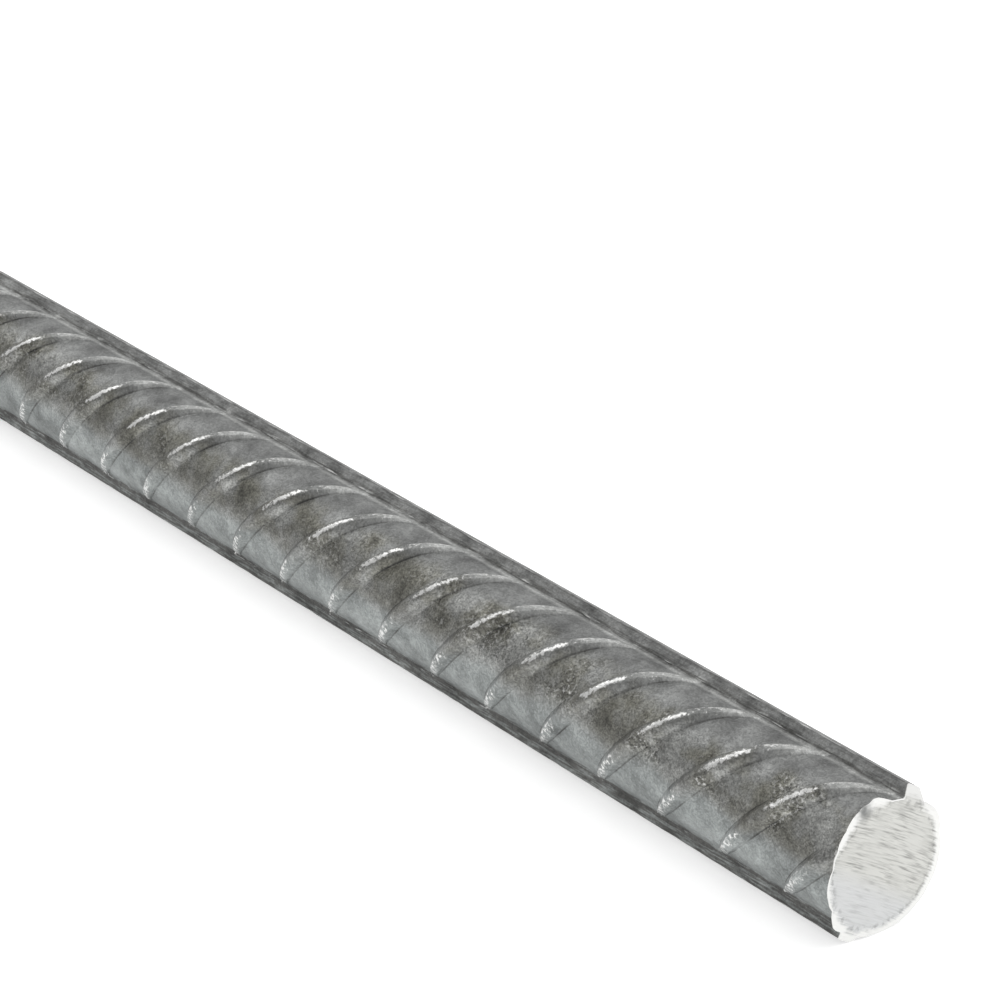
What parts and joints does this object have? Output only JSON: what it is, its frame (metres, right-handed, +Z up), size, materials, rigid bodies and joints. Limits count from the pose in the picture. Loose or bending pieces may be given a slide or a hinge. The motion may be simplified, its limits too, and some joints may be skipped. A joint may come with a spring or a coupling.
{
  "type": "ribbed reinforcing bar",
  "caption": "Hot-rolled steel reinforcing bar: round core with opposite longitudinal ribs, saw-cut square at both ends, for casting into concrete",
  "frame": {"origin": "on the floor under the middle of the bar's length, below the bar's axis", "axes": "+X along the bar towards the saw-cut end that the picture shows, +Z up, -Y towards the side that the picture shows"},
  "size_m": [0.5, 0.0106, 0.0102],
  "materials": {
    "mill_scale_steel": "hot-rolled steel under grey mill scale, bright where it was sawn"
  },
  "bodies": {
    "root": {"rebar": "mill_scale_steel"}
  },
  "joints": []
}
